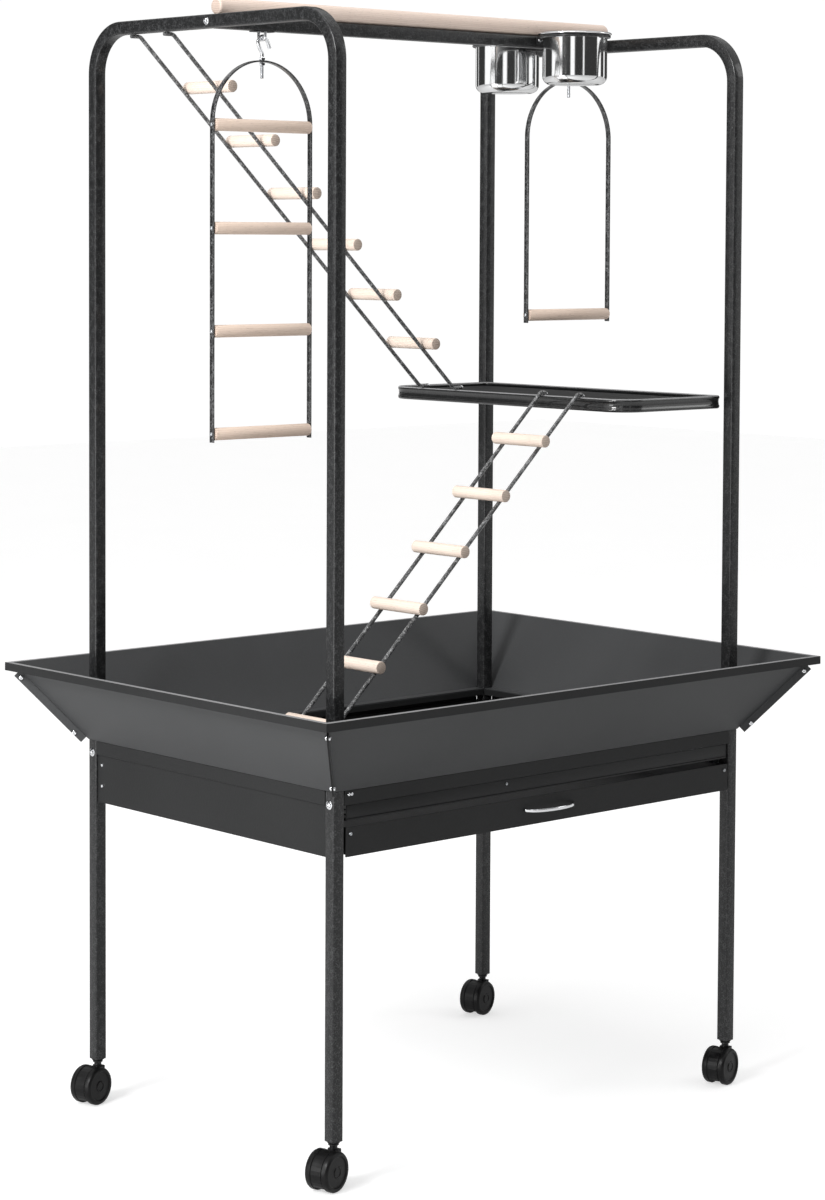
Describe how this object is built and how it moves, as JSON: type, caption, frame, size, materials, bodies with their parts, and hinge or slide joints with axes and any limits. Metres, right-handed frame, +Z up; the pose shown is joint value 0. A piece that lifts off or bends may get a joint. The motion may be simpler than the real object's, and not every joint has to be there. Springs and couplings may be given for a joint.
{
  "type": "parrot play stand",
  "caption": "Open parrot play stand on casters: twin tube arches, top perch, ladders, swing, platform, steel bowls and a flared seed skirt over a slide-out tray.",
  "frame": {"origin": "on the floor under the centre of the stand", "axes": "+X along the long side, to the right seen from the drawer side; the drawer faces -Y; +Z up"},
  "size_m": [0.994, 0.747, 1.6408],
  "materials": {
    "hammered_coating": "black hammered powder coat, semi-gloss",
    "coated_sheet": "dark grey satin powder coat on sheet steel",
    "natural_wood": "smooth bare dowel",
    "polished_stainless": "polished stainless steel",
    "chrome": "bright plating",
    "zinc_plate": "dull zinc plating",
    "black_plastic": "black nylon"
  },
  "bodies": {
    "stand": {"front_bowl_holder": "hammered_coating", "front_left_leg": "hammered_coating", "front_rail": "coated_sheet", "front_right_leg": "hammered_coating", "front_skirt": "coated_sheet", "left_apron": "coated_sheet", "left_arch_frame": "hammered_coating", "left_runner": "zinc_plate", "left_skirt": "coated_sheet", "platform": "coated_sheet", "rear_apron": "coated_sheet", "rear_bowl_holder": "hammered_coating", "rear_left_leg": "hammered_coating", "rear_right_leg": "hammered_coating", "rear_skirt": "coated_sheet", "right_apron": "coated_sheet", "right_arch_frame": "hammered_coating", "right_runner": "zinc_plate", "right_skirt": "coated_sheet", "top_crossbar": "hammered_coating", "top_perch": "natural_wood", "upper_ladder_front_wire": "hammered_coating", "upper_ladder_rear_wire": "hammered_coating", "upper_ladder_rung_1": "natural_wood", "upper_ladder_rung_2": "natural_wood", "upper_ladder_rung_3": "natural_wood", "upper_ladder_rung_4": "natural_wood", "upper_ladder_rung_5": "natural_wood", "upper_ladder_rung_6": "natural_wood"},
    "lower_ladder": {"lower_ladder_front_wire": "hammered_coating", "lower_ladder_rear_wire": "hammered_coating", "lower_ladder_rung_1": "natural_wood", "lower_ladder_rung_2": "natural_wood", "lower_ladder_rung_3": "natural_wood", "lower_ladder_rung_4": "natural_wood", "lower_ladder_rung_5": "natural_wood", "lower_ladder_rung_6": "natural_wood"},
    "drawer": {"drawer_tray": "coated_sheet", "drawer_handle": "chrome"},
    "grate": {"grate": "hammered_coating"},
    "hanging_ladder_hook": {"hanging_ladder_hook": "chrome"},
    "hanging_ladder": {"hanging_ladder_arch": "hammered_coating", "hanging_ladder_rung_1": "natural_wood", "hanging_ladder_rung_2": "natural_wood", "hanging_ladder_rung_3": "natural_wood", "hanging_ladder_rung_4": "natural_wood"},
    "swing_hook": {"swing_hook": "chrome"},
    "swing": {"swing_arch": "hammered_coating", "swing_rung_1": "natural_wood"},
    "front_bowl": {"front_bowl": "polished_stainless"},
    "rear_bowl": {"rear_bowl": "polished_stainless"},
    "front_left_caster": {"front_left_caster_hood": "black_plastic"},
    "front_left_wheels": {"front_left_caster_wheels": "black_plastic"},
    "front_right_caster": {"front_right_caster_hood": "black_plastic"},
    "front_right_wheels": {"front_right_caster_wheels": "black_plastic"},
    "rear_left_caster": {"rear_left_caster_hood": "black_plastic"},
    "rear_left_wheels": {"rear_left_caster_wheels": "black_plastic"},
    "rear_right_caster": {"rear_right_caster_hood": "black_plastic"},
    "rear_right_wheels": {"rear_right_caster_wheels": "black_plastic"}
  },
  "joints": [
    {"name": "drawer_slide", "type": "slide", "parent": "stand", "child": "drawer", "axis": [0, -1, 0], "range_m": [0, 0.42]},
    {"name": "grate_slide", "type": "slide", "parent": "stand", "child": "grate", "axis": [0, -1, 0], "range_m": [0, 0.42]},
    {"name": "lower_ladder_lift", "type": "hinge", "parent": "stand", "child": "lower_ladder", "pos_m": [0.1725, -0.132, 1.062], "axis": [0, 1, 0], "range_deg": [0, 30]},
    {"name": "hanging_ladder_swing", "type": "hinge", "parent": "stand", "child": "hanging_ladder_hook", "pos_m": [-0.306, 0, 1.587], "axis": [1, 0, 0], "range_deg": [-12, 12]},
    {"name": "hanging_ladder_spin", "type": "hinge", "parent": "hanging_ladder_hook", "child": "hanging_ladder", "pos_m": [-0.306, 0, 1.55], "axis": [0, 0, 1], "range_deg": [-35, 35]},
    {"name": "swing_swing", "type": "hinge", "parent": "stand", "child": "swing_hook", "pos_m": [0.314, 0, 1.587], "axis": [1, 0, 0], "range_deg": [-15, 15]},
    {"name": "swing_spin", "type": "hinge", "parent": "swing_hook", "child": "swing", "pos_m": [0.314, 0, 1.545], "axis": [0, 0, 1], "range_deg": [-35, 35]},
    {"name": "front_bowl_lift", "type": "slide", "parent": "stand", "child": "front_bowl", "axis": [0, 0, 1], "range_m": [0, 0.1]},
    {"name": "rear_bowl_lift", "type": "slide", "parent": "stand", "child": "rear_bowl", "axis": [0, 0, 1], "range_m": [0, 0.1]},
    {"name": "front_left_caster_swivel", "type": "hinge", "parent": "stand", "child": "front_left_caster", "pos_m": [-0.398, -0.2745, 0.06], "axis": [0, 0, 1], "continuous": true},
    {"name": "front_left_wheel_spin", "type": "hinge", "parent": "front_left_caster", "child": "front_left_wheels", "pos_m": [-0.41347, -0.27859, 0.028], "axis": [0.2555, -0.9668, 0], "continuous": true},
    {"name": "front_right_caster_swivel", "type": "hinge", "parent": "stand", "child": "front_right_caster", "pos_m": [0.398, -0.2745, 0.06], "axis": [0, 0, 1], "continuous": true},
    {"name": "front_right_wheel_spin", "type": "hinge", "parent": "front_right_caster", "child": "front_right_wheels", "pos_m": [0.38253, -0.27859, 0.028], "axis": [0.2555, -0.9668, 0], "continuous": true},
    {"name": "rear_left_caster_swivel", "type": "hinge", "parent": "stand", "child": "rear_left_caster", "pos_m": [-0.398, 0.2745, 0.06], "axis": [0, 0, 1], "continuous": true},
    {"name": "rear_left_wheel_spin", "type": "hinge", "parent": "rear_left_caster", "child": "rear_left_wheels", "pos_m": [-0.41347, 0.27041, 0.028], "axis": [0.2555, -0.9668, 0], "continuous": true},
    {"name": "rear_right_caster_swivel", "type": "hinge", "parent": "stand", "child": "rear_right_caster", "pos_m": [0.398, 0.2745, 0.06], "axis": [0, 0, 1], "continuous": true},
    {"name": "rear_right_wheel_spin", "type": "hinge", "parent": "rear_right_caster", "child": "rear_right_wheels", "pos_m": [0.38253, 0.27041, 0.028], "axis": [0.2555, -0.9668, 0], "continuous": true}
  ]
}
